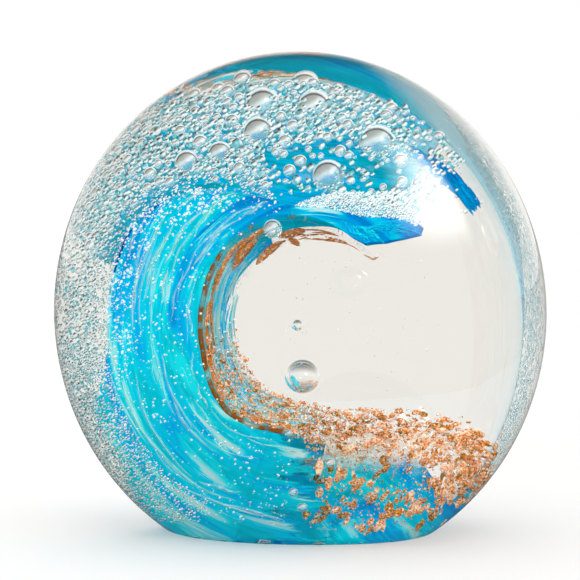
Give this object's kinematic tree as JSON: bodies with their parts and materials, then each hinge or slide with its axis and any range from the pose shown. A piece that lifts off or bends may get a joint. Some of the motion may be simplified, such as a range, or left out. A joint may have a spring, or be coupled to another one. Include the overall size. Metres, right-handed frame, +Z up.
{
  "type": "glass wave sculpture",
  "caption": "Flattened oval glass paperweight on a ground base, with a breaking wave of blue glass, bubble foam and copper sand sealed inside.",
  "frame": {"origin": "centre of the ground base, on the surface that the piece stands on", "axes": "+Z up, the front face towards -Y, the curl of the wave opens towards +X"},
  "size_m": [0.108, 0.058, 0.1053],
  "materials": {
    "clear_glass": "polished, colourless, very slightly warm",
    "bubbled_glass": "polished, crowded with trapped air bubbles",
    "turquoise_glass": "translucent, streaked along the flow of the wave",
    "deep_blue_glass": "translucent, deep blue",
    "white_glass": "translucent white, drawn out into streaks",
    "lining_glass": "translucent, threaded with turquoise, olive and white",
    "copper_glass": "glittering copper aventurine",
    "sand_glass": "clear glass clouded with fine copper grains"
  },
  "bodies": {
    "root": {"outer_casing": "clear_glass", "core_gather": "clear_glass", "foam_glass": "bubbled_glass", "wave_wall": "turquoise_glass", "rear_sheet": "turquoise_glass", "crest_lip": "deep_blue_glass", "cobalt_cane": "deep_blue_glass", "blue_fleck": "deep_blue_glass", "white_streaks": "white_glass", "lining_threads": "white_glass", "barrel_lining": "lining_glass", "copper_streak": "copper_glass", "sand_chips": "copper_glass", "sand_bed": "sand_glass"}
  },
  "joints": []
}
